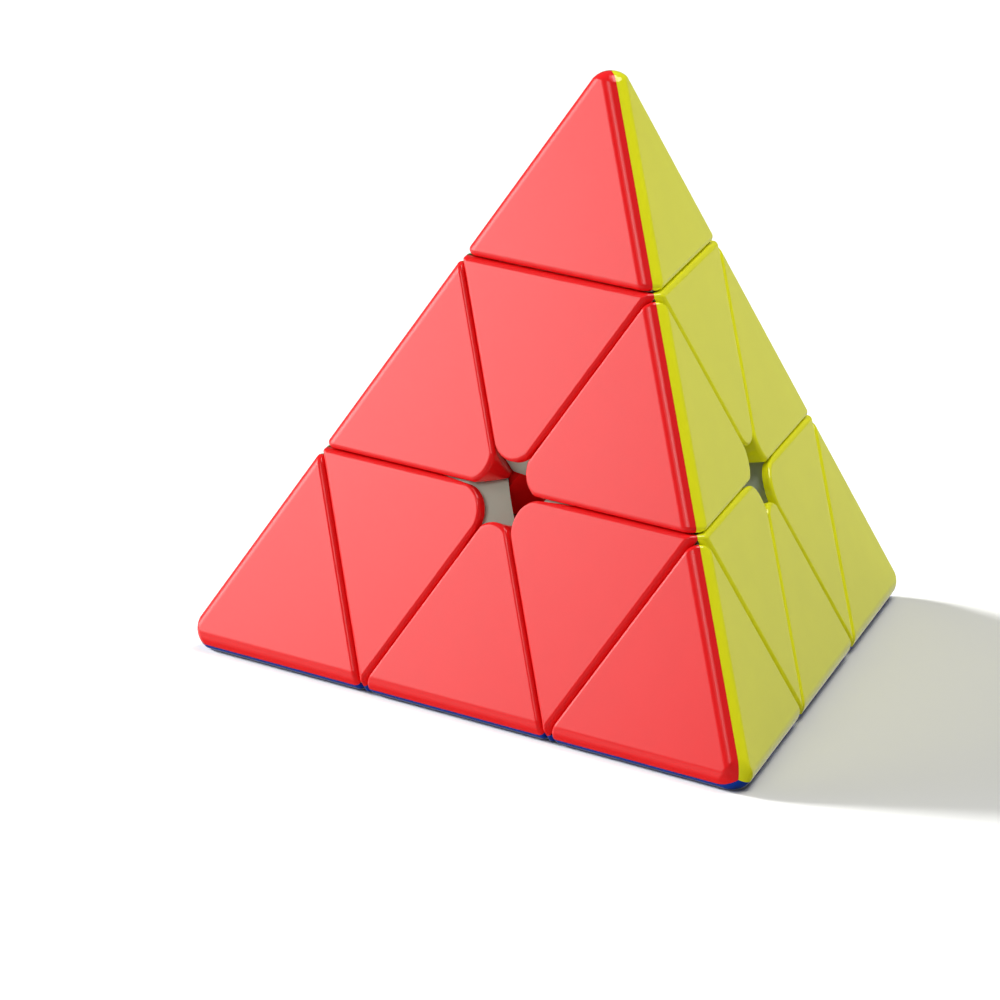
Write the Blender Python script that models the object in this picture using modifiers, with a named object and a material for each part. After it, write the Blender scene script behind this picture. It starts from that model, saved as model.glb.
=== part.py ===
"""Pyramid twisty puzzle: a tetrahedral four-axis puzzle that turns in layers, built piece by piece.

Frame: metres, +Z up through the top vertex. The origin is the centre of the core, where the four turning
axes meet. The red face looks towards -Y, and the blue face is the underside.

Every cut between two pieces is a plane square to a turning axis, or a sphere about the origin, so a layer
can turn through any angle. Outside a sphere of HOOK_RADIUS the layers part at LAYER_CUT from the centre.
Inside it they part at HOOK_CUT, which is nearer the centre, so each edge piece has a foot that reaches
under the axial pieces beside it and holds it in.
"""

import math

import bmesh
import bpy
from mathutils import Matrix, Vector

MM = 0.001

# Outer form
EDGE = 275 * MM  # between the corners where the rounded edge lines meet
EDGE_FILLET = 6.0 * MM
FILLET_PLANES = 3
EDGE_TO_INRADIUS = math.sqrt(6) / 12
HALF_DIHEDRAL = math.atan(1 / math.sqrt(2))
FACE_SLOPE = 2 * math.sqrt(2) / 3  # how fast the distance along a face's own axes grows across it
FILLET_INSET = EDGE_FILLET * (1 / math.sin(HALF_DIHEDRAL) - 1)
FACE = EDGE * EDGE_TO_INRADIUS + FILLET_INSET / math.sqrt(3)  # centre to face
VERTEX_RADIUS = 8.6 * MM  # of the ball that rounds each vertex
VERTEX_BALL = 3 * EDGE * EDGE_TO_INRADIUS - VERTEX_RADIUS / math.sin(HALF_DIHEDRAL)  # centre to its centre
VERTEX_RINGS = ((22, 6), (42, 6))  # flats on the ball: degrees from the axis, and how many

# Cuts between pieces, as distances from the centre along a turning axis
TIP_CUT = 93.2 * MM  # close to a third of the way along each edge
LAYER_CUT = 19.6 * MM
HOOK_CUT = 5 * MM
HOOK_RADIUS = 45 * MM
HALF_GAP = 0.3 * MM
SPHERE_GAP = 0.4 * MM
SEAM = 0.15 * MM  # half the gap between two mouldings of one piece
TOUCH = 0.3 * MM  # gap between pieces that touch

# Mouldings
CAP = 3.2 * MM
WALL = 3 * MM
OPENING = 11 * MM  # from a face's centre to the rounded corners of the facets round it
BOWL_CENTRE = 57 * MM
BOWL_RADIUS = 53 * MM
POCKET_FLOOR = 40 * MM
HUB_CLEAR = 17 * MM

# Mechanism on each axis
CORE_RADIUS = 14 * MM
ARM_RADIUS, ARM_END = 4.8 * MM, 30 * MM
TAPPED_RADIUS, TAPPED_FLOOR = 2.3 * MM, 16 * MM
ARM_BORE = 5.4 * MM
WEB_LOW, WEB_HIGH = 32 * MM, 36 * MM
WEB_HOLE = 2.6 * MM
SPRING_WELL = 8 * MM
SOCKET_FLOOR = 52 * MM
SOCKET_RADIUS = 11 * MM
GROOVE_RADIUS, GROOVE_LOW, GROOVE_HIGH = 12.6 * MM, 80 * MM, 86 * MM
STEM_RADIUS, STEM_BORE, STEM_END = 10.6 * MM, 7.5 * MM, 56 * MM
BEAD_RADIUS, BEAD_LOW, BEAD_HIGH = 12.2 * MM, 81 * MM, 85 * MM
PLATE = 3.5 * MM
SHANK_RADIUS, SHANK_END = 2 * MM, 18 * MM
HEAD_RADIUS, HEAD_LOW, HEAD_HIGH = 4.6 * MM, 48 * MM, 51.5 * MM
RECESS_LENGTH, RECESS_WIDTH, RECESS_DEPTH = 5 * MM, 1.2 * MM, 1.8 * MM
WASHER_RADIUS, WASHER_BORE, WASHER_THICK = 6.8 * MM, 2.4 * MM, 0.9 * MM
SPRING_RADIUS, WIRE_RADIUS, SPRING_TURNS = 4.6 * MM, 0.8 * MM, 4
SPRING_POINTS = 8  # in each turn

REACH = 0.5  # half the side of a block that planes are cut from
ROUND_STEPS = 24
CORNER_STEPS = 6
SMALL_STEPS = 16

AXES = {
    "top": Vector((0, 0, 1)),
    "left": Vector((-math.sqrt(2 / 3), -math.sqrt(2) / 3, -1 / 3)),
    "right": Vector((math.sqrt(2 / 3), -math.sqrt(2) / 3, -1 / 3)),
    "back": Vector((0, 2 * math.sqrt(2) / 3, -1 / 3)),
}
TOP, LEFT, RIGHT, BACK = AXES.values()
FACE_COLOUR = {"back": "red", "left": "yellow", "right": "green", "top": "blue"}  # by the vertex opposite
EDGES = (
    ("top", "left"),
    ("top", "right"),
    ("top", "back"),
    ("left", "right"),
    ("back", "left"),
    ("right", "back"),
)
COLOURS = {
    "red": (0.80, 0.015, 0.02),
    "yellow": (0.66, 0.66, 0.03),
    "green": (0.01, 0.32, 0.06),
    "blue": (0.005, 0.05, 0.40),
    "grey": (0.30, 0.30, 0.27),
    "steel": (0.62, 0.62, 0.64),
}


def clear_scene():
    for obj in list(bpy.data.objects):
        bpy.data.objects.remove(obj)


def material(name):
    made = bpy.data.materials.new(name)
    made.use_nodes = True
    shader = made.node_tree.nodes["Principled BSDF"]
    shader.inputs["Base Color"].default_value = (*COLOURS[name], 1)
    shader.inputs["Roughness"].default_value = 0.25 if name == "steel" else 0.35
    shader.inputs["Metallic"].default_value = 1 if name == "steel" else 0
    return made


def to_mesh(bm):
    bmesh.ops.recalc_face_normals(bm, faces=bm.faces)
    mesh = bpy.data.meshes.new("solid")
    bm.to_mesh(mesh)
    bm.free()
    return mesh


def cut_plane(bm, normal, distance):
    """Keeps the part of a solid with normal . p <= distance, and closes the cut."""
    geometry = bm.verts[:] + bm.edges[:] + bm.faces[:]
    where = normal * distance
    cut = bmesh.ops.bisect_plane(bm, geom=geometry, dist=1e-7, plane_co=where, plane_no=normal, clear_outer=True)
    rim = [item for item in cut["geom_cut"] if isinstance(item, bmesh.types.BMEdge)]
    if rim:
        bmesh.ops.edgeloop_fill(bm, edges=rim)


def block(planes):
    """A closed convex solid: what is left of a large cube inside every plane (normal, distance)."""
    bm = bmesh.new()
    bmesh.ops.create_cube(bm, size=2 * REACH)
    for normal, distance in planes:
        cut_plane(bm, normal.normalized(), distance)
    return to_mesh(bm)


def ball(radius, centre=0.0, segments=36):
    """A sphere on the Z axis."""
    bm = bmesh.new()
    bmesh.ops.create_uvsphere(bm, u_segments=segments, v_segments=segments // 2, radius=radius)
    bmesh.ops.translate(bm, verts=bm.verts, vec=(0, 0, centre))
    return to_mesh(bm)


def helper(name, data):
    """An object that is only used while a shape is being made."""
    obj = bpy.data.objects.new(name, data)
    bpy.context.scene.collection.objects.link(obj)
    return obj


def evaluated(obj):
    """The mesh of an object as its modifiers leave it."""
    graph = bpy.context.evaluated_depsgraph_get()
    return bpy.data.meshes.new_from_object(obj.evaluated_get(graph))


def turned(profile, steps=ROUND_STEPS):
    """A profile of (radius, height) points, closed or ending on the axis, turned about Z."""
    on_axis = [radius == 0 for radius, _ in profile].count(True)
    bm = bmesh.new()
    points = [bm.verts.new((radius, 0, height)) for radius, height in profile]
    ends = points[1:] if on_axis else points[1:] + points[:1]
    for start, end in zip(points, ends):
        bm.edges.new((start, end))
    mesh = bpy.data.meshes.new("profile")
    bm.to_mesh(mesh)
    bm.free()
    obj = helper("turned", mesh)
    screw = obj.modifiers.new("turn", "SCREW")
    screw.angle = math.tau
    screw.steps = screw.render_steps = steps
    screw.use_merge_vertices = True
    screw.merge_threshold = 1e-5
    bm = bmesh.new()
    bm.from_mesh(evaluated(obj))
    bpy.data.objects.remove(obj)
    return to_mesh(bm)


def combine(target, tool, operation):
    """The mesh of target after a Boolean with tool. Both meshes are used up."""
    body, other = helper("body", target), helper("tool", tool)
    boolean = body.modifiers.new("boolean", "BOOLEAN")
    boolean.operation = operation
    boolean.object = other
    boolean.solver = "EXACT"
    result = evaluated(body)
    for obj in (body, other):
        bpy.data.objects.remove(obj)
    return result


def moved(mesh, matrix):
    copy = mesh.copy()
    copy.transform(matrix)
    return copy


def split(mesh, planes):
    """Keeps the part of a solid inside every plane through the origin, given by its outward normal."""
    bm = bmesh.new()
    bm.from_mesh(mesh)
    for normal in planes:
        cut_plane(bm, normal.normalized(), -SEAM)
    return to_mesh(bm)


def rotation(images):
    """The turn that takes three turning axes to three others, or None if it would mirror."""
    before = Matrix([AXES[name] for name in images]).transposed()
    after = Matrix([AXES[name] for name in images.values()]).transposed()
    turn = after @ before.inverted()
    return turn.to_4x4() if turn.determinant() > 0 else None


def turn_vertex(vertex, opposite):
    """Takes the top vertex to this one, and the red face to the face opposite the other."""
    rest = [name for name in AXES if name not in (vertex, opposite)]
    turns = [rotation({"top": vertex, "back": opposite, "left": name}) for name in rest]
    return next(turn for turn in turns if turn)


def turn_edge(first, second, opposite):
    """Takes the top-left edge's red half to this edge's half on the face opposite that vertex."""
    pairs = ((first, second), (second, first))
    turns = [rotation({"top": a, "left": b, "back": opposite}) for a, b in pairs]
    return next(turn for turn in turns if turn)


def faces(inset=0.0, around=("back", "left", "right")):
    """The planes of the faces opposite these vertices, moved inwards."""
    return [(-AXES[name], FACE - inset) for name in around]


def beyond(axis, distance):
    return -axis, -distance


def rounded_edge(first, second):
    """Planes tangent to the fillet that rounds the edge between two faces."""
    start, end = -AXES[first], -AXES[second]
    middle = (start + end).normalized()
    centre = middle * (FACE - EDGE_FILLET) / middle.dot(start)
    spread = math.pi / 2 - HALF_DIHEDRAL
    sideways = (end - start).normalized()
    planes = []
    for step in range(FILLET_PLANES):
        angle = spread * (2 * (step + 0.5) / FILLET_PLANES - 1)
        normal = middle * math.cos(angle) + sideways * math.sin(angle)
        planes.append((normal, normal.dot(centre) + EDGE_FILLET))
    return planes


def rounded_vertex_edges():
    pairs = (("back", "left"), ("left", "right"), ("right", "back"))
    return [plane for pair in pairs for plane in rounded_edge(*pair)]


def rounded_vertex():
    """Planes tangent to the ball that rounds the top vertex. The ball touches the three edge lines."""
    normals = [TOP]
    for tilt, count in VERTEX_RINGS:
        for step in range(count):
            turn = math.tau * step / count
            across = Vector((math.sin(turn), math.cos(turn), 0))
            normals.append(TOP * math.cos(math.radians(tilt)) + across * math.sin(math.radians(tilt)))
    return [(normal, normal.dot(TOP) * VERTEX_BALL + VERTEX_RADIUS) for normal in normals]


def corner_rounding(points_at, corner):
    """A cutter that rounds a red facet's corner at the face's centre, for a facet that points that way.

    The corner is how far along from the face's centre the facet's two sides would meet.
    """
    outward = -BACK
    along = (points_at - outward * points_at.dot(outward)).normalized()
    across = outward.cross(along)
    radius = OPENING - corner
    outline = []
    for step in range(CORNER_STEPS + 1):
        angle = math.radians(120 + 120 * step / CORNER_STEPS)
        outline.append((corner + 2 * radius + radius * math.cos(angle), radius * math.sin(angle)))
    reach = 2 * OPENING
    ends = outline[0][0] - reach / 2
    outline += [(ends, -reach), (-reach, -reach), (-reach, reach), (ends, reach)]
    bm = bmesh.new()
    points = [bm.verts.new(along * x + across * y + outward * HOOK_RADIUS) for x, y in outline]
    bottom = bm.faces.new(points)
    wall = bmesh.ops.extrude_face_region(bm, geom=[bottom])
    top = [item for item in wall["geom"] if isinstance(item, bmesh.types.BMVert)]
    bmesh.ops.translate(bm, verts=top, vec=outward * 2 * (FACE - HOOK_RADIUS))
    return to_mesh(bm)


def seam_planes(*others):
    """Normals of the planes that part the red face's moulding from those opposite the other vertices."""
    return [BACK - AXES[name] for name in others]


def tip_cap():
    planes = faces() + rounded_vertex_edges() + rounded_vertex() + [beyond(TOP, TIP_CUT + HALF_GAP)]
    cap = split(block(planes), seam_planes("left", "right"))
    inside = block(faces(CAP) + [(TOP, VERTEX_BALL + VERTEX_RADIUS - CAP), beyond(TOP, 0)])
    return combine(cap, inside, "DIFFERENCE")


def tip_base():
    low = TIP_CUT + HALF_GAP
    plate = block(faces(CAP + TOUCH) + [(TOP, low + PLATE), beyond(TOP, low)])
    top = low + PLATE / 2
    stem = turned(
        [
            (STEM_BORE, STEM_END),
            (STEM_RADIUS, STEM_END),
            (STEM_RADIUS, BEAD_LOW),
            (BEAD_RADIUS, BEAD_LOW + (BEAD_RADIUS - STEM_RADIUS)),
            (BEAD_RADIUS, BEAD_HIGH - (BEAD_RADIUS - STEM_RADIUS)),
            (STEM_RADIUS, BEAD_HIGH),
            (STEM_RADIUS, top),
            (STEM_BORE, top),
        ]
    )
    return combine(plate, stem, "UNION")


def octahedron(inset):
    """An axial piece's outer form. Its faces can be moved inwards."""
    sides = [(AXES[name], LAYER_CUT - HALF_GAP) for name in ("left", "right", "back")]
    ends = [(TOP, TIP_CUT - HALF_GAP), beyond(TOP, LAYER_CUT + HALF_GAP)]
    return faces(inset) + sides + ends


def axial_cap():
    outer = split(block(octahedron(0) + rounded_vertex_edges()), seam_planes("left", "right"))
    cap = combine(outer, block(faces(CAP) + [beyond(TOP, 0)]), "DIFFERENCE")
    corner = (2 * (LAYER_CUT - HALF_GAP) - FACE * 2 / 3) / FACE_SLOPE
    return combine(cap, corner_rounding(TOP, -corner), "DIFFERENCE")


def axial_pocket(opposite):
    """The hollow behind one cap of an axial piece."""
    outward = -AXES[opposite]
    flat = Vector((outward.x, outward.y, 0)).normalized()
    sides = [AXES[name] for name in ("left", "right", "back") if name != opposite]
    slanted = (TOP + outward).normalized()
    planes = [(side, LAYER_CUT - HALF_GAP - WALL) for side in sides]
    planes += [(TOP, TIP_CUT - HALF_GAP - WALL), beyond(TOP, POCKET_FLOOR), beyond(flat, HUB_CLEAR)]
    planes += [beyond(slanted, HOOK_RADIUS + SPHERE_GAP + WALL), (outward, FACE)]
    return block(planes)


def hub_radius(height):
    """The widest that a hub can be and still clear the feet that pass it."""
    return (height / 3 + HOOK_CUT - 2 * HALF_GAP) / FACE_SLOPE


def axial_base():
    low, wide, high = 10 * MM, 41 * MM, 60 * MM
    hub = turned(
        [
            (ARM_BORE / 2, low),
            (hub_radius(low), low),
            (hub_radius(wide), wide),
            (hub_radius(wide), high),
            (ARM_BORE / 2, high),
        ]
    )
    past = TIP_CUT + WALL
    bore = turned(
        [
            (0, 0),
            (ARM_BORE, 0),
            (ARM_BORE, WEB_LOW),
            (WEB_HOLE, WEB_LOW),
            (WEB_HOLE, WEB_HIGH),
            (SPRING_WELL, WEB_HIGH),
            (SPRING_WELL, SOCKET_FLOOR),
            (SOCKET_RADIUS, SOCKET_FLOOR),
            (SOCKET_RADIUS, GROOVE_LOW),
            (GROOVE_RADIUS, GROOVE_LOW + (GROOVE_RADIUS - SOCKET_RADIUS)),
            (GROOVE_RADIUS, GROOVE_HIGH - (GROOVE_RADIUS - SOCKET_RADIUS)),
            (SOCKET_RADIUS, GROOVE_HIGH),
            (SOCKET_RADIUS, past),
            (0, past),
        ]
    )
    base = combine(block(octahedron(CAP + TOUCH)), ball(BOWL_RADIUS, BOWL_CENTRE, 32), "INTERSECT")
    base = combine(base, ball(HOOK_RADIUS + SPHERE_GAP), "DIFFERENCE")
    for opposite in ("left", "right", "back"):
        base = combine(base, axial_pocket(opposite), "DIFFERENCE")
    base = combine(base, hub, "UNION")
    base = combine(base, ball(CORE_RADIUS + 2 * SPHERE_GAP, 0, ROUND_STEPS), "DIFFERENCE")
    return combine(base, bore, "DIFFERENCE")


def edge_half():
    """The red half of the top-left edge piece, with its half of the foot."""
    middle = (TOP + LEFT).normalized()
    outer = block(
        faces(0, ("back", "right"))
        + rounded_edge("back", "right")
        + [beyond(TOP, LAYER_CUT + HALF_GAP), beyond(LEFT, LAYER_CUT + HALF_GAP)]
    )
    outer = combine(outer, ball(HOOK_RADIUS + SPHERE_GAP), "DIFFERENCE")
    below = HOOK_CUT - HALF_GAP
    foot = block(
        [beyond(TOP, HOOK_CUT + HALF_GAP), beyond(LEFT, HOOK_CUT + HALF_GAP), (RIGHT, below), (BACK, below)]
    )
    foot = combine(foot, ball(HOOK_RADIUS - SPHERE_GAP), "INTERSECT")
    inside = 1 * MM  # the neck's sides stay clear of the planes that it joins
    neck = block(
        faces(WALL, ("back", "right"))
        + [
            beyond(TOP, LAYER_CUT + HALF_GAP + inside),
            beyond(LEFT, LAYER_CUT + HALF_GAP + inside),
            (RIGHT, below - inside),
            (BACK, below - inside),
            (middle, HOOK_RADIUS + 4 * WALL),
        ]
    )
    piece = combine(combine(outer, neck, "UNION"), foot, "UNION")
    piece = combine(piece, ball(CORE_RADIUS + 2 * SPHERE_GAP, 0, ROUND_STEPS), "DIFFERENCE")
    half = split(piece, seam_planes("right"))
    corner = (2 * (LAYER_CUT + HALF_GAP) - FACE * 2 / 3) / FACE_SLOPE
    half = combine(half, corner_rounding(TOP + LEFT, corner), "DIFFERENCE")
    hollow = block(
        faces(WALL, ("back",))
        + [
            beyond(TOP, LAYER_CUT + HALF_GAP + WALL),
            beyond(LEFT, LAYER_CUT + HALF_GAP + WALL),
            (BACK - RIGHT, WALL),
            (middle, EDGE / math.sqrt(8) - 3 * WALL),
            beyond(middle, HOOK_RADIUS + 3 * WALL),
        ]
    )
    return combine(half, hollow, "DIFFERENCE")


def core():
    """A ball with an arm along each axis, and a tapped hole in each arm."""
    body = ball(CORE_RADIUS, 0, ROUND_STEPS)
    arm = turned([(0, 0), (ARM_RADIUS, 0), (ARM_RADIUS, ARM_END), (0, ARM_END)], SMALL_STEPS)
    hole = turned(
        [(0, TAPPED_FLOOR), (TAPPED_RADIUS, TAPPED_FLOOR), (TAPPED_RADIUS, ARM_END + WALL), (0, ARM_END + WALL)],
        SMALL_STEPS,
    )
    turns = [turn_vertex(name, next(other for other in AXES if other != name)) for name in AXES]
    for turn in turns:
        body = combine(body, moved(arm, turn), "UNION")
    for turn in turns:
        body = combine(body, moved(hole, turn), "DIFFERENCE")
    return body


def screw():
    shank = TOUCH + SHANK_END
    body = turned(
        [
            (0, shank),
            (SHANK_RADIUS, shank),
            (SHANK_RADIUS, HEAD_LOW),
            (HEAD_RADIUS, HEAD_LOW),
            (HEAD_RADIUS, HEAD_HIGH - HEAD_RADIUS / 4),
            (HEAD_RADIUS * 3 / 4, HEAD_HIGH),
            (0, HEAD_HIGH),
        ],
        SMALL_STEPS,
    )
    for length, width in ((RECESS_LENGTH, RECESS_WIDTH), (RECESS_WIDTH, RECESS_LENGTH)):
        bm = bmesh.new()
        bmesh.ops.create_cube(bm, size=1)
        bmesh.ops.scale(bm, vec=(length, width, 2 * RECESS_DEPTH), verts=bm.verts)
        bmesh.ops.translate(bm, verts=bm.verts, vec=(0, 0, HEAD_HIGH))
        body = combine(body, to_mesh(bm), "DIFFERENCE")
    return body


def washer():
    top = HEAD_LOW - TOUCH
    low = top - WASHER_THICK
    return turned([(WASHER_BORE, low), (WASHER_RADIUS, low), (WASHER_RADIUS, top), (WASHER_BORE, top)])


def spring():
    low = WEB_HIGH + TOUCH + WIRE_RADIUS
    high = HEAD_LOW - TOUCH - WASHER_THICK - TOUCH - WIRE_RADIUS
    curve = bpy.data.curves.new("coil", "CURVE")
    curve.dimensions = "3D"
    curve.bevel_depth = WIRE_RADIUS
    curve.bevel_resolution = 1
    curve.use_fill_caps = True
    count = SPRING_TURNS * SPRING_POINTS + 1
    line = curve.splines.new("POLY")
    line.points.add(count - 1)
    for index, point in enumerate(line.points):
        angle = math.tau * index / SPRING_POINTS
        height = low + (high - low) * index / (count - 1)
        point.co = (SPRING_RADIUS * math.cos(angle), SPRING_RADIUS * math.sin(angle), height, 1)
    coil = helper("coil", curve)
    bm = bmesh.new()
    bm.from_mesh(evaluated(coil))
    bpy.data.objects.remove(coil)
    bmesh.ops.remove_doubles(bm, verts=bm.verts, dist=1e-6)
    return to_mesh(bm)


def place(name, mesh, turn, parent, colour, collection):
    obj = bpy.data.objects.new(name, mesh.copy())
    obj.data.materials.clear()
    obj.data.materials.append(colour)
    obj.data.shade_smooth()
    obj.data.set_sharp_from_angle(angle=math.radians(25))
    collection.objects.link(obj)
    obj.matrix_world = turn
    obj.parent = parent
    return obj


def pivot(name, collection):
    """An empty at the centre, on every turning axis, that carries the pieces of one moving body."""
    empty = bpy.data.objects.new("body_" + name, None)
    collection.objects.link(empty)
    return empty


def main():
    clear_scene()
    puzzle = bpy.data.collections.new("pyramid_twisty_puzzle")
    bpy.context.scene.collection.children.link(puzzle)
    colours = {name: material(name) for name in COLOURS}

    middle = pivot("core", puzzle)
    place("core", core(), Matrix.Identity(4), middle, colours["grey"], puzzle)
    fittings = {"screw": screw(), "washer": washer(), "spring": spring()}
    axial_shapes = axial_base(), axial_cap()
    tip_shapes = tip_base(), tip_cap()
    for vertex in AXES:
        others = [name for name in AXES if name != vertex]
        turn = turn_vertex(vertex, others[0])
        for kind, mesh in fittings.items():
            place(f"{kind}_{vertex}", mesh, turn, middle, colours["steel"], puzzle)
        for kind, (base, cap) in (("axial", axial_shapes), ("tip", tip_shapes)):
            body = pivot(f"{kind}_{vertex}", puzzle)
            place(f"{kind}_base_{vertex}", base, turn, body, colours["grey"], puzzle)
            for opposite in others:
                colour = FACE_COLOUR[opposite]
                name = f"{kind}_cap_{vertex}_{colour}"
                place(name, cap, turn_vertex(vertex, opposite), body, colours[colour], puzzle)

    half = edge_half()
    for first, second in EDGES:
        body = pivot(f"edge_{first}_{second}", puzzle)
        for opposite in (name for name in AXES if name not in (first, second)):
            colour = FACE_COLOUR[opposite]
            name = f"edge_{first}_{second}_{colour}"
            place(name, half, turn_edge(first, second, opposite), body, colours[colour], puzzle)


main()
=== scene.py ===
"""The looks of the pyramid twisty puzzle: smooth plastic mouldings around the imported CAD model.

Frame: metres, +Z up through the top vertex, origin at the core's centre, red face towards -Y. Shapes are
worked out in millimetres and scaled at the end.
"""

import itertools
import math

import bmesh
import bpy
from mathutils import Matrix, Vector

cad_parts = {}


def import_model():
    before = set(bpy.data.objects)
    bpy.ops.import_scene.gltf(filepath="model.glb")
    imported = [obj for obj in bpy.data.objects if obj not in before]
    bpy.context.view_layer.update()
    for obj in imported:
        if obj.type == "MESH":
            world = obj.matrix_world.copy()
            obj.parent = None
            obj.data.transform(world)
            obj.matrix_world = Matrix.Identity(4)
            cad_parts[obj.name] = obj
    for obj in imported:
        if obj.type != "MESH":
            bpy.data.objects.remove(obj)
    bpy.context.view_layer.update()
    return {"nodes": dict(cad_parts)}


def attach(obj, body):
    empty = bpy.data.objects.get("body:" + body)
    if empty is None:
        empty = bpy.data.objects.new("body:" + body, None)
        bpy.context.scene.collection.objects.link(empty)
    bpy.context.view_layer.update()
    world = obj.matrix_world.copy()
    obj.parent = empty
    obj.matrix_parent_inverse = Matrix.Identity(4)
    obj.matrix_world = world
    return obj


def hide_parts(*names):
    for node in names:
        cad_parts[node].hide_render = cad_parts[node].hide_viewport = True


MM = 0.001

# Sizes in millimetres. All but HALF_GAP are the CAD model's.
EDGE = 275  # between the corners where the rounded edge lines meet
EDGE_FILLET = 6
EDGE_TO_INRADIUS = math.sqrt(6) / 12
HALF_DIHEDRAL = math.atan(1 / math.sqrt(2))
FACE_SLOPE = 2 * math.sqrt(2) / 3  # how fast the distance along a face's own axes grows across it
FACE = EDGE * EDGE_TO_INRADIUS + EDGE_FILLET * (1 / math.sin(HALF_DIHEDRAL) - 1) / math.sqrt(3)
VERTEX_RADIUS = 8.6  # of the ball that rounds each vertex
VERTEX_BALL = 3 * EDGE * EDGE_TO_INRADIUS - VERTEX_RADIUS / math.sin(HALF_DIHEDRAL)  # centre to its centre
TIP_CUT = 93.2
LAYER_CUT = 19.6
HOOK_CUT = 5
HOOK_RADIUS = 45
HALF_GAP = 0.15
SPHERE_GAP = 0.4
CORE_RADIUS = 14
CAP = 3.2
WALL = 3
OPENING = 11  # from a face's centre to the rounded corners of the facets round it
BOWL_CENTRE, BOWL_RADIUS = 57, 53
WELL_RADIUS, WELL_FLOOR = 8, 36
SOCKET_RADIUS, SOCKET_FLOOR = 11, 52

# The finer shape of the mouldings, in millimetres
SEAM = 0.02  # half the hairline between two mouldings of one piece
BORDER = 1.2  # least rounding of an axial facet's border
FLANK = 2.2  # its rounding along the layers' cuts
SHOULDER = 2.4  # its rounding along the tip's cut
TIP_BORDER = 2  # of a tip's facets
EDGE_BORDER = 1.7  # of an edge facet
FOOT_ROUND = 0.8
BASE_ROUND = 1.2
NECK_INSET = 1  # of an edge's neck from its cuts
HUB_LOW, HUB_WIDE, HUB_HIGH = 16, 41, 60
CLEAR = 100  # height above every grey base
REACH = 400  # half the side of the cube that solids are cut from

# How finely round shapes are made
ARC = math.radians(9)  # the turn between two steps of a rounding
CORNER_STEPS = 14
VERTEX_RINGS = 5
RING_TILT = 10.5  # degrees between two rings
BALL_SEGMENTS = 96
BOWL_SEGMENTS = 128
SHARP = math.radians(32)  # a real edge turns by more
FLAT = math.radians(0.3)  # neighbouring faces that turn by less become one
TOUCH = 1e-4  # points closer than this, in millimetres, are one

# The camera's azimuth from +Y towards +X, elevation and roll in degrees, its place in metres and its lens
AIM = (-44.0428, -14.4739, 0.0452)
STAND = (1.691058, -1.804518, 0.644403)
SENSOR, LENS = 36, 257.458

MOTTLE, WAVES, BRUSHED = 45, 900, 300  # noise scales: a plastic's colour, its surface, and steel
GLOSSY, SATIN = 0.16, 0.4  # roughness of the coloured and of the grey plastic

ROOM = 0.13  # brightness above the horizon
BACKDROP = 0.9  # what the camera sees of the world
FLOOR_REACH = 6  # metres
FLOOR_BOUNCE, FLOOR_SEEN = (0.56, 0.56, 0.56, 1), (0.76, 0.76, 0.75, 1)

AXES = {
    "top": Vector((0, 0, 1)),
    "left": Vector((-math.sqrt(2 / 3), -math.sqrt(2) / 3, -1 / 3)),
    "right": Vector((math.sqrt(2 / 3), -math.sqrt(2) / 3, -1 / 3)),
    "back": Vector((0, 2 * math.sqrt(2) / 3, -1 / 3)),
}
TOP, LEFT, RIGHT, BACK = AXES.values()
FACE_COLOUR = {"back": "red", "left": "yellow", "right": "green", "top": "blue"}
EDGES = (
    ("top", "left"),
    ("top", "right"),
    ("top", "back"),
    ("left", "right"),
    ("back", "left"),
    ("right", "back"),
)


# ---------------------------------------------------------------- solids


def beyond(axis, distance):
    return -axis, -distance


def faces(inset=0.0, around=("back", "left", "right")):
    return [(-AXES[name], FACE - inset) for name in around]


def cut_plane(bm, normal, distance):
    """Keeps the part of a solid with normal . p <= distance, and closes the cut."""
    geometry = bm.verts[:] + bm.edges[:] + bm.faces[:]
    where = normal * distance
    cut = bmesh.ops.bisect_plane(bm, geom=geometry, dist=TOUCH, plane_co=where, plane_no=normal, clear_outer=True)
    rim = [item for item in cut["geom_cut"] if isinstance(item, bmesh.types.BMEdge)]
    if rim:
        bmesh.ops.edgeloop_fill(bm, edges=rim)


def convex(planes):
    bm = bmesh.new()
    bmesh.ops.create_cube(bm, size=2 * REACH)
    for normal, distance in planes:
        cut_plane(bm, normal.normalized(), distance)
    bmesh.ops.recalc_face_normals(bm, faces=bm.faces)
    return bm


def to_mesh(bm):
    bmesh.ops.recalc_face_normals(bm, faces=bm.faces)
    mesh = bpy.data.meshes.new("solid")
    bm.to_mesh(mesh)
    bm.free()
    return mesh


def block(planes):
    return to_mesh(convex(planes))


def steps_between(a, b):
    """How many steps a rounding takes between two directions. An exact multiple of ARC isn't rounded up."""
    return max(1, math.ceil(a.angle(b) / ARC - 0.01))


def ball_patch(normals):
    """Directions that cover a ball's surface between three face normals."""
    a, b, c = normals
    counts = [steps_between(a, b), steps_between(b, c), steps_between(c, a)]
    found = list(normals)
    for start, end, count in ((a, b, counts[0]), (b, c, counts[1]), (c, a, counts[2])):
        found += [start.slerp(end, i / count) for i in range(1, count)]
    if min(counts) > 1:
        rows = max(counts)
        for row in range(2, rows):
            left, right = a.slerp(b, row / rows), a.slerp(c, row / rows)
            found += [left.slerp(right, i / row) for i in range(1, row)]
    return found


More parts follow.
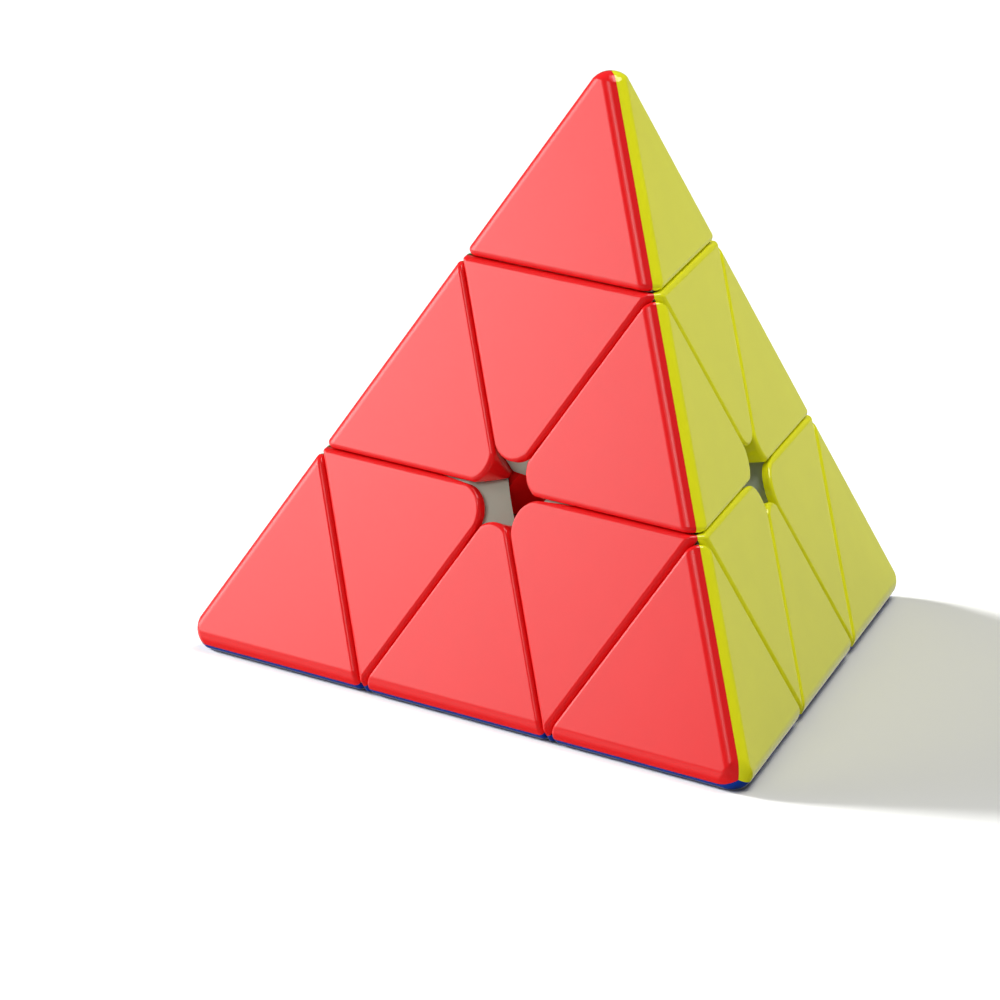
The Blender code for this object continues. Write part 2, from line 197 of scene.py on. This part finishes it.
def rounded(planes, radius):
    """The convex solid inside every plane, with its edges and corners rounded by a ball of this radius."""
    inner = convex([(normal.normalized(), distance - radius) for normal, distance in planes])
    hull = bmesh.new()
    for vert in inner.verts:
        loops = list(vert.link_loops)
        ring, loop = [], loops[0]
        for _ in loops:
            ring.append(loop.face.normal.copy())
            loop = loop.link_loop_prev.link_loop_radial_next
        for i in range(1, len(ring) - 1):
            for direction in ball_patch((ring[0], ring[i], ring[i + 1])):
                hull.verts.new(vert.co + direction * radius)
    inner.free()
    bmesh.ops.remove_doubles(hull, verts=hull.verts, dist=1e-3)
    made = bmesh.ops.convex_hull(hull, input=hull.verts)
    spare = {item for key in ("geom_interior", "geom_unused") for item in made[key]}
    spare = [item for item in spare if isinstance(item, bmesh.types.BMVert) and item.is_valid]
    bmesh.ops.delete(hull, geom=spare, context="VERTS")
    bmesh.ops.dissolve_limit(hull, angle_limit=FLAT, verts=hull.verts, edges=hull.edges)
    return to_mesh(hull)


def ball(radius, height=0.0, segments=BALL_SEGMENTS):
    bm = bmesh.new()
    bmesh.ops.create_uvsphere(bm, u_segments=segments, v_segments=segments // 2, radius=radius)
    bmesh.ops.translate(bm, verts=bm.verts, vec=(0, 0, height))
    return to_mesh(bm)


def helper(name, data):
    obj = bpy.data.objects.new(name, data)
    bpy.context.scene.collection.objects.link(obj)
    return obj


def evaluated(obj):
    graph = bpy.context.evaluated_depsgraph_get()
    return bpy.data.meshes.new_from_object(obj.evaluated_get(graph))


def combine(target, tool, operation):
    body, other = helper("body", target), helper("tool", tool)
    boolean = body.modifiers.new("boolean", "BOOLEAN")
    boolean.operation = operation
    boolean.object = other
    boolean.solver = "EXACT"
    result = evaluated(body)
    for obj in (body, other):
        bpy.data.objects.remove(obj)
    return result


def split(mesh, planes):
    """Keeps the part of a mesh behind every plane through the centre, less half a seam."""
    bm = bmesh.new()
    bm.from_mesh(mesh)
    for normal in planes:
        cut_plane(bm, normal.normalized(), -SEAM)
    return to_mesh(bm)


def turned(profile, steps=64):
    """A closed profile of (radius, height) points, turned about Z."""
    bm = bmesh.new()
    points = [bm.verts.new((radius, 0, height)) for radius, height in profile]
    lines = [bm.edges.new((a, b)) for a, b in zip(points, points[1:] + points[:1])]
    bmesh.ops.spin(
        bm, geom=points + lines, axis=(0, 0, 1), cent=(0, 0, 0), steps=steps, angle=math.tau, use_merge=True
    )
    bmesh.ops.remove_doubles(bm, verts=bm.verts, dist=TOUCH)
    bmesh.ops.dissolve_degenerate(bm, edges=bm.edges, dist=1e-5)
    return to_mesh(bm)


# ---------------------------------------------------------------- turns of the prototypes


def rotation(images):
    before = Matrix([AXES[name] for name in images]).transposed()
    after = Matrix([AXES[name] for name in images.values()]).transposed()
    turn = after @ before.inverted()
    return turn.to_4x4() if turn.determinant() > 0 else None


def turn_vertex(vertex, opposite):
    rest = [name for name in AXES if name not in (vertex, opposite)]
    turns = [rotation({"top": vertex, "back": opposite, "left": name}) for name in rest]
    return next(turn for turn in turns if turn)


def turn_edge(first, second, opposite):
    pairs = ((first, second), (second, first))
    turns = [rotation({"top": a, "left": b, "back": opposite}) for a, b in pairs]
    return next(turn for turn in turns if turn)


def seam_planes(*others):
    return [BACK - AXES[name] for name in others]


# ---------------------------------------------------------------- mouldings


def fillet(first, second, radius):
    """Planes tangent to the rounding of this radius between two planes."""
    (start, reach), (end, other) = first, second
    start, end = start.normalized(), end.normalized()
    cosine = start.dot(end)
    near, far = reach - radius, other - radius
    centre = (start * (near - far * cosine) + end * (far - near * cosine)) / (1 - cosine * cosine)
    count = max(2, math.ceil(start.angle(end) / ARC))
    planes = []
    for step in range(count):
        normal = start.slerp(end, (step + 0.5) / count)
        planes.append((normal, normal.dot(centre) + radius))
    return planes


def rounded_edge(first, second):
    """Planes tangent to the fillet between two faces."""
    return fillet((-AXES[first], FACE), (-AXES[second], FACE), EDGE_FILLET)


def rounded_vertex_edges():
    pairs = (("back", "left"), ("left", "right"), ("right", "back"))
    return [plane for pair in pairs for plane in rounded_edge(*pair)]


def rounded_vertex():
    """Planes tangent to the ball that rounds the top vertex, in rings about its axis."""
    planes = [(TOP, VERTEX_BALL + VERTEX_RADIUS)]
    for ring in range(1, VERTEX_RINGS + 1):
        tilt = math.radians(RING_TILT * ring)
        count = 6 * ring
        for step in range(count):
            turn = math.tau * step / count
            normal = Vector((math.sin(turn) * math.sin(tilt), math.cos(turn) * math.sin(tilt), math.cos(tilt)))
            planes.append((normal, normal.z * VERTEX_BALL + VERTEX_RADIUS))
    return planes


def layers_meet(cut):
    """How far from a face's centre the cuts of two layers, this far from the core's centre, cross on it."""
    return (2 * cut - FACE * 2 / 3) / FACE_SLOPE


def rounded_corner(points_at, corner):
    """Planes tangent to the upright cylinder that rounds a red facet's 60-degree corner at the face's centre.

    corner is the sharp corner's place on the line from the face's centre in the direction points_at.
    """
    outward = -BACK
    along = (points_at - outward * points_at.dot(outward)).normalized()
    across = outward.cross(along)
    radius = OPENING - corner
    centre = along * (corner + 2 * radius)
    planes = []
    for step in range(CORNER_STEPS):
        angle = math.radians(120 + 120 * (step + 0.5) / CORNER_STEPS)
        normal = along * math.cos(angle) + across * math.sin(angle)
        planes.append((normal, normal.dot(centre) + radius))
    return planes


def tip_cap():
    outer = rounded(
        faces() + rounded_vertex_edges() + rounded_vertex() + [beyond(TOP, TIP_CUT + HALF_GAP)], TIP_BORDER
    )
    inner = block(faces(CAP) + [(TOP, VERTEX_BALL + VERTEX_RADIUS - CAP), beyond(TOP, 0)])
    return combine(split(outer, seam_planes("left", "right")), inner, "DIFFERENCE")


def octahedron(inset):
    sides = [(AXES[name], LAYER_CUT - HALF_GAP) for name in ("left", "right", "back")]
    ends = [(TOP, TIP_CUT - HALF_GAP), beyond(TOP, LAYER_CUT + HALF_GAP)]
    return faces(inset) + sides + ends


def axial_cap():
    """The red facet of the top axial piece. Fillets along its cuts are wider than its least rounding."""
    cut = LAYER_CUT - HALF_GAP
    top = (TOP, TIP_CUT - HALF_GAP)
    fillets = [plane for face in faces() for plane in fillet(face, top, SHOULDER)]
    for opposite, vertex in itertools.permutations(("left", "right", "back"), 2):
        fillets += fillet((-AXES[opposite], FACE), (AXES[vertex], cut), FLANK)
    corner = rounded_corner(TOP, -layers_meet(cut))
    outer = rounded(octahedron(0) + rounded_vertex_edges() + fillets + corner, BORDER)
    outer = split(outer, seam_planes("left", "right"))
    return combine(outer, block(faces(CAP) + [beyond(TOP, 0)]), "DIFFERENCE")


def axial_base():
    """The grey moulding behind the top axial piece's caps, rounded where it shows in the openings."""
    base = rounded(octahedron(CAP + HALF_GAP), BASE_ROUND)
    base = combine(base, ball(BOWL_RADIUS, BOWL_CENTRE, BOWL_SEGMENTS), "INTERSECT")
    base = combine(base, ball(HOOK_RADIUS + SPHERE_GAP), "DIFFERENCE")
    slope = 1 / 3 / FACE_SLOPE
    start = (HOOK_CUT - 2 * HALF_GAP) / FACE_SLOPE
    inner = SOCKET_RADIUS / 2
    low, wide = start + slope * HUB_LOW, start + slope * HUB_WIDE
    hub = turned([(inner, HUB_LOW), (low, HUB_LOW), (wide, HUB_WIDE), (wide, HUB_HIGH), (inner, HUB_HIGH)])
    base = combine(base, hub, "UNION")
    well = [(0, WELL_FLOOR), (WELL_RADIUS, WELL_FLOOR), (WELL_RADIUS, SOCKET_FLOOR)]
    socket = [(SOCKET_RADIUS, SOCKET_FLOOR), (SOCKET_RADIUS, CLEAR), (0, CLEAR)]
    return combine(base, turned(well + socket), "DIFFERENCE")


def edge_half():
    """The red half of the edge piece between the top and left vertices: facet, neck and foot."""
    middle = (TOP + LEFT).normalized()
    cut, hook, below = LAYER_CUT + HALF_GAP, HOOK_CUT + HALF_GAP, HOOK_CUT - HALF_GAP
    corner = rounded_corner(TOP + LEFT, layers_meet(cut))
    outer = rounded(
        faces(0, ("back", "right")) + rounded_edge("back", "right") + corner + [beyond(TOP, cut), beyond(LEFT, cut)],
        EDGE_BORDER,
    )
    outer = combine(outer, ball(HOOK_RADIUS + SPHERE_GAP), "DIFFERENCE")
    foot = rounded([beyond(TOP, hook), beyond(LEFT, hook), (RIGHT, below), (BACK, below)], FOOT_ROUND)
    foot = combine(foot, ball(HOOK_RADIUS - SPHERE_GAP), "INTERSECT")
    neck = rounded(
        faces(WALL, ("back", "right"))
        + corner
        + [
            beyond(TOP, cut + NECK_INSET),
            beyond(LEFT, cut + NECK_INSET),
            (RIGHT, below - NECK_INSET),
            (BACK, below - NECK_INSET),
            (middle, HOOK_RADIUS + 4 * WALL),
        ],
        FOOT_ROUND,
    )
    piece = combine(combine(outer, neck, "UNION"), foot, "UNION")
    piece = combine(piece, ball(CORE_RADIUS + 2 * SPHERE_GAP), "DIFFERENCE")
    half = split(piece, seam_planes("right"))
    hollow = block(
        faces(WALL, ("back",))
        + [
            beyond(TOP, cut + WALL),
            beyond(LEFT, cut + WALL),
            (BACK - RIGHT, WALL),
            (middle, EDGE / math.sqrt(8) - 3 * WALL),
            beyond(middle, HOOK_RADIUS + 3 * WALL),
        ]
    )
    return combine(half, hollow, "DIFFERENCE")


# ---------------------------------------------------------------- materials


def mapped(tree, value, before, after):
    """The value, with the first range stretched to the second."""
    stretch = tree.nodes.new("ShaderNodeMapRange")
    for i, end in enumerate(("Min", "Max")):
        stretch.inputs[f"From {end}"].default_value = before[i]
        stretch.inputs[f"To {end}"].default_value = after[i]
    tree.links.new(value, stretch.inputs["Value"])
    return stretch.outputs["Result"]


def noise(tree, scale, detail=2):
    place = tree.nodes.new("ShaderNodeTexCoord")
    pattern = tree.nodes.new("ShaderNodeTexNoise")
    pattern.inputs["Scale"].default_value = scale
    pattern.inputs["Detail"].default_value = detail
    tree.links.new(place.outputs["Object"], pattern.inputs["Vector"])
    return pattern.outputs["Fac"]


def mottled(name, colours, roughness, pattern_scale, detail=2):
    """A material that wanders between two colours, and between two roughnesses, with one noise."""
    made = bpy.data.materials.new(name)
    made.use_nodes = True
    tree = made.node_tree
    shader = tree.nodes["Principled BSDF"]
    mottle = noise(tree, pattern_scale, detail)
    tint = tree.nodes.new("ShaderNodeMix")
    tint.data_type = "RGBA"
    for socket, colour in zip("AB", colours):
        tint.inputs[socket].default_value = (*colour, 1)
    tree.links.new(mottle, tint.inputs["Factor"])
    tree.links.new(tint.outputs["Result"], shader.inputs["Base Color"])
    tree.links.new(mapped(tree, mottle, (0, 1), roughness), shader.inputs["Roughness"])
    return made, shader


def plastic(name, colour, roughness=GLOSSY):
    """Moulded plastic: a faint mottle in colour and gloss, and the fine waviness of a moulded surface."""
    colours = [[min(1, share * value) for value in colour] for share in (0.97, 1.03)]
    made, shader = mottled(name, colours, (roughness - 0.02, roughness + 0.02), MOTTLE, 3)
    shader.inputs["IOR"].default_value = 1.5
    bump = made.node_tree.nodes.new("ShaderNodeBump")
    bump.inputs["Strength"].default_value = 0.05
    bump.inputs["Distance"].default_value = 0.00002
    made.node_tree.links.new(noise(made.node_tree, WAVES), bump.inputs["Height"])
    made.node_tree.links.new(bump.outputs["Normal"], shader.inputs["Normal"])
    return made


def steel():
    made, shader = mottled("steel", ((0.52, 0.52, 0.54), (0.66, 0.66, 0.68)), (0.22, 0.36), BRUSHED)
    shader.inputs["Metallic"].default_value = 1
    return made


def paint(obj, material):
    obj.data.materials.clear()
    obj.data.materials.append(material)


# ---------------------------------------------------------------- scene


def finished(mesh):
    """A prototype in metres, shaded smooth except at real edges."""
    mesh.transform(Matrix.Scale(MM, 4))
    mesh.shade_smooth()
    mesh.set_sharp_from_angle(angle=SHARP)
    return mesh


def place(name, mesh, turn, body, node, slot, material):
    """A turned copy of a prototype that rides on a body and stands in for a CAD node."""
    obj = helper(name, mesh.copy())
    obj.data.transform(turn)
    paint(obj, material)
    even = obj.modifiers.new("normals", "WEIGHTED_NORMAL")
    even.keep_sharp = True
    even.weight = 100
    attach(obj, body)
    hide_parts(node)
    return obj


def mouldings(plastics, inside):
    """Every visible moulding. The grey ones also go in the collection inside."""
    shapes = {"axial": finished(axial_cap()), "tip": finished(tip_cap())}
    base, half = finished(axial_base()), finished(edge_half())
    for vertex in AXES:
        others = [name for name in AXES if name != vertex]
        body, grey = f"axial_{vertex}", plastics["grey"]
        turn = turn_vertex(vertex, others[0])
        inside.objects.link(place(f"moulding_{body}", base, turn, body, f"axial_base_{vertex}", "grey", grey))
        for opposite in others:
            colour = FACE_COLOUR[opposite]
            turn = turn_vertex(vertex, opposite)
            for kind, mesh in shapes.items():
                name, node = f"facet_{kind}_{vertex}_{colour}", f"{kind}_cap_{vertex}_{colour}"
                place(name, mesh, turn, f"{kind}_{vertex}", node, colour, plastics[colour])
    for first, second in EDGES:
        body = f"edge_{first}_{second}"
        for opposite in (name for name in AXES if name not in (first, second)):
            colour = FACE_COLOUR[opposite]
            turn = turn_edge(first, second, opposite)
            place(f"facet_{body}_{colour}", half, turn, body, f"{body}_{colour}", colour, plastics[colour])


def holding(name, obj):
    """A new collection for light linking, with one object in it."""
    made = bpy.data.collections.new(name)
    made.objects.link(obj)
    return made


def ground(height):
    """A wide floor that looks brighter to the camera than the light it throws back."""
    bm = bmesh.new()
    bmesh.ops.create_grid(bm, x_segments=1, y_segments=1, size=FLOOR_REACH)
    floor = helper("floor", to_mesh(bm))
    floor.location.z = height
    floor.visible_glossy = False
    material = bpy.data.materials.new("floor")
    material.use_nodes = True
    nodes, links = material.node_tree.nodes, material.node_tree.links
    shader = nodes["Principled BSDF"]
    shader.inputs["Roughness"].default_value = 0.8
    seen = nodes.new("ShaderNodeLightPath")
    colour = nodes.new("ShaderNodeMix")
    colour.data_type = "RGBA"
    colour.inputs["A"].default_value = FLOOR_BOUNCE
    colour.inputs["B"].default_value = FLOOR_SEEN
    links.new(seen.outputs["Is Camera Ray"], colour.inputs["Factor"])
    links.new(colour.outputs["Result"], shader.inputs["Base Color"])
    paint(floor, material)
    return floor


def studio(floor_height):
    """The room, the floor and the lamps. The fill leaves the floor out, and the sun lights only the floor."""
    surroundings()
    floor = ground(floor_height)
    just_floor, no_floor = holding("just_floor", floor), holding("no_floor", floor)
    no_floor.collection_objects[0].light_linking.link_state = "EXCLUDE"

    lamp("low_left", -60, 16, 2, (2.4, 1.5), 5.8, fade=True)
    lamp("front", 7, 46, 2, (1.0, 1.0), 4, fade=True)
    fill = lamp("fill", -60, 35, 2, (1.2, 1.2), 3.6)
    fill.visible_glossy = False
    fill.light_linking.receiver_collection = no_floor
    lamp("overhead", 150, 71, 2.2, (1.3, 1.3), 6)
    sun = bpy.data.lights.new("long_shadow", "SUN")
    sun.energy = 8
    sun.angle = math.radians(14)
    low = helper("long_shadow", sun)
    low.rotation_euler = (math.radians(70), 0, math.radians(-75))
    low.light_linking.receiver_collection = just_floor


def surroundings():
    """A dim room, brighter towards -X just below the horizon, with a light backdrop that only the camera sees."""
    world = bpy.data.worlds.new("studio")
    bpy.context.scene.world = world
    world.use_nodes = True
    tree = world.node_tree
    nodes, links = tree.nodes, tree.links
    direction = nodes.new("ShaderNodeTexCoord")
    parts = nodes.new("ShaderNodeSeparateXYZ")
    links.new(direction.outputs["Generated"], parts.inputs["Vector"])
    below = mapped(tree, parts.outputs["Z"], (0.04, -0.04), (0, 1))
    side = mapped(tree, parts.outputs["X"], (0.3, -0.9), (0.05, 0.95))
    depth = mapped(tree, parts.outputs["Z"], (-0.3, -0.6), (1, 0.12))
    low = nodes.new("ShaderNodeMath")
    low.operation = "MULTIPLY"
    links.new(side, low.inputs[0])
    links.new(depth, low.inputs[1])
    room = nodes.new("ShaderNodeMix")
    room.inputs["A"].default_value = ROOM
    links.new(below, room.inputs["Factor"])
    links.new(low.outputs[0], room.inputs["B"])
    seen = nodes.new("ShaderNodeLightPath")
    shown = nodes.new("ShaderNodeMix")
    shown.inputs["B"].default_value = BACKDROP
    links.new(seen.outputs["Is Camera Ray"], shown.inputs["Factor"])
    links.new(room.outputs["Result"], shown.inputs["A"])
    background = nodes["Background"]
    background.inputs["Color"].default_value = (1, 1, 1, 1)
    links.new(shown.outputs["Result"], background.inputs["Strength"])


def lamp(name, azimuth, elevation, distance, size, radiance, fade=False):
    """A softbox that faces the object. Angles are in degrees, azimuth from -Y towards +X, and sizes in metres."""
    light = bpy.data.lights.new(name, "AREA")
    light.shape = "RECTANGLE"
    light.size, light.size_y = size
    light.energy = radiance * math.pi * size[0] * size[1]
    azimuth, elevation = math.radians(azimuth), math.radians(elevation)
    towards = Vector(
        (math.sin(azimuth) * math.cos(elevation), -math.cos(azimuth) * math.cos(elevation), math.sin(elevation))
    )
    obj = helper(name, light)
    obj.location = distance * towards
    obj.rotation_euler = (-towards).to_track_quat("-Z", "Y").to_euler()
    obj.visible_camera = False
    if fade:
        fade_out(light)
    return obj


def fade_out(light):
    """Brightest in the middle and falling to nothing at the sides, as sin^2 of the place across each."""
    light.use_nodes = True
    nodes, links = light.node_tree.nodes, light.node_tree.links
    place = nodes.new("ShaderNodeNewGeometry")
    parts = nodes.new("ShaderNodeSeparateXYZ")
    links.new(place.outputs["Parametric"], parts.inputs["Vector"])
    product = nodes.new("ShaderNodeMath")
    product.operation = "MULTIPLY"
    for i, axis in enumerate("XY"):
        angle = nodes.new("ShaderNodeMath")
        angle.operation = "MULTIPLY"
        angle.inputs[1].default_value = math.pi
        links.new(parts.outputs[axis], angle.inputs[0])
        wave = nodes.new("ShaderNodeMath")
        wave.operation = "SINE"
        links.new(angle.outputs[0], wave.inputs[0])
        square = nodes.new("ShaderNodeMath")
        square.operation = "POWER"
        square.inputs[1].default_value = 2
        links.new(wave.outputs[0], square.inputs[0])
        links.new(square.outputs[0], product.inputs[i])
    links.new(product.outputs[0], nodes["Emission"].inputs["Strength"])


def camera():
    data = bpy.data.cameras.new("camera")
    data.sensor_width = SENSOR
    data.lens = LENS
    data.clip_start = 0.1
    obj = helper("camera", data)
    azimuth, elevation, roll = (math.radians(value) for value in AIM)
    forward = Vector(
        (math.sin(azimuth) * math.cos(elevation), math.cos(azimuth) * math.cos(elevation), math.sin(elevation))
    )
    right = forward.cross(Vector((0, 0, 1))).normalized()
    up = right.cross(forward)
    across = right * math.cos(roll) + up * math.sin(roll)
    above = up * math.cos(roll) - right * math.sin(roll)
    pose = Matrix((across, above, -forward)).transposed().to_4x4()
    pose.translation = STAND
    obj.matrix_world = pose
    bpy.context.scene.camera = obj


def main():
    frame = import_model()
    bpy.context.scene.view_settings.view_transform = "Standard"
    camera()
    studio(-FACE * MM)

    plastics = {
        "red": plastic("red_plastic", (0.95, 0.012, 0.014)),
        "yellow": plastic("yellow_plastic", (0.95, 0.94, 0.009)),
        "green": plastic("green_plastic", (0.004, 0.30, 0.03)),
        "blue": plastic("blue_plastic", (0.006, 0.05, 0.38)),
        "grey": plastic("grey_plastic", (0.42, 0.47, 0.39), SATIN),
    }
    metal = steel()
    for name, node in frame["nodes"].items():
        kind = name.split("_")[0]
        paint(node, metal if kind in ("screw", "spring", "washer") else plastics["grey"])

    inside = bpy.data.collections.new("inside")
    lamp("openings", 25, 25, 2, (0.8, 0.8), 9).light_linking.receiver_collection = inside
    mouldings(plastics, inside)


main()
